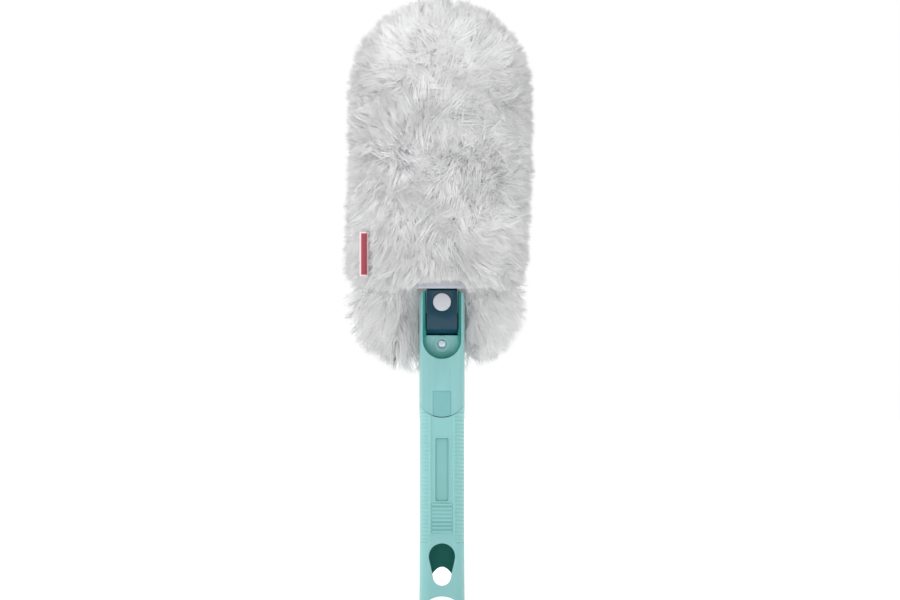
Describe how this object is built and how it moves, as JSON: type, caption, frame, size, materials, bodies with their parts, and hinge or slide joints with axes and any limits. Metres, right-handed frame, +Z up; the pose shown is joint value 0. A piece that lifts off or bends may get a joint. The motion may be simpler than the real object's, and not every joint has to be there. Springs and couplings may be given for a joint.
{
  "type": "hand duster",
  "caption": "Hand duster: fluffy fleece cover on a flat paddle, tilting head with a push-button lock, and a click-on hollow grip that also takes a pole.",
  "frame": {"origin": "middle of the grip's open lower end, where a pole goes in", "axes": "+Z up the handle to the top of the fleece, -Y towards the front with the button, +X to the right seen from the front"},
  "size_m": [0.1388, 0.0636, 0.4576],
  "materials": {
    "mint_plastic": "fine satin moulding",
    "deep_mint_plastic": "fine satin moulding",
    "petrol_plastic": "satin moulding",
    "pale_plastic": "smooth moulding",
    "nylon": "natural moulding",
    "spring_steel": "drawn wire",
    "zinc_steel": "zinc plated",
    "fleece": "long soft pile",
    "hem_tape": "soft woven tape",
    "red_label": "woven label with a pale border, left bare"
  },
  "bodies": {
    "grip": {"grip_shell": "mint_plastic", "grip_plug": "petrol_plastic", "click_spring": "spring_steel"},
    "click_pad": {"click_button": "deep_mint_plastic"},
    "neck": {"neck_housing": "mint_plastic", "neck_back_cover": "mint_plastic", "neck_screw": "zinc_steel", "pivot_pin_left": "zinc_steel", "pivot_pin_right": "zinc_steel", "friction_washer_left": "nylon", "friction_washer_right": "nylon"},
    "head": {"hinge_knuckle": "petrol_plastic", "frame_paddle": "petrol_plastic", "tang_pin": "zinc_steel", "button_spring": "spring_steel", "plunger_spring": "spring_steel"},
    "button": {"lock_button": "pale_plastic"},
    "plunger": {"lock_plunger": "nylon"},
    "cover": {"cover_front": "fleece", "cover_back": "fleece", "hem_band": "hem_tape", "side_label": "red_label"}
  },
  "joints": [
    {"name": "neck_pull_off", "type": "slide", "parent": "grip", "child": "neck", "axis": [0, 0, 1], "range_m": [0, 0.045]},
    {"name": "click_press", "type": "slide", "parent": "grip", "child": "click_pad", "axis": [0, 1, 0], "range_m": [0, 0.003], "stiffness_N_per_m": 900, "springref_m": -0.002, "deforming": ["click_spring"]},
    {"name": "head_tilt", "type": "hinge", "parent": "neck", "child": "head", "pos_m": [0, 0, 0.2153], "axis": [1, 0, 0], "range_deg": [0, 90]},
    {"name": "lock_press", "type": "slide", "parent": "head", "child": "button", "axis": [0, 1, 0], "range_m": [0, 0.0022], "stiffness_N_per_m": 900, "springref_m": -0.002, "deforming": ["button_spring"]},
    {"name": "plunger_lift", "type": "slide", "parent": "head", "child": "plunger", "axis": [0, 0, 1], "range_m": [0, 0.00132], "stiffness_N_per_m": 600, "springref_m": -0.001, "deforming": ["plunger_spring"]},
    {"name": "cover_pull_off", "type": "slide", "parent": "head", "child": "cover", "axis": [0, 0, 1], "range_m": [0, 0.262]}
  ],
  "couplings": [
    {"joint": "plunger_lift", "follows": "lock_press", "ratio": 0.6}
  ]
}
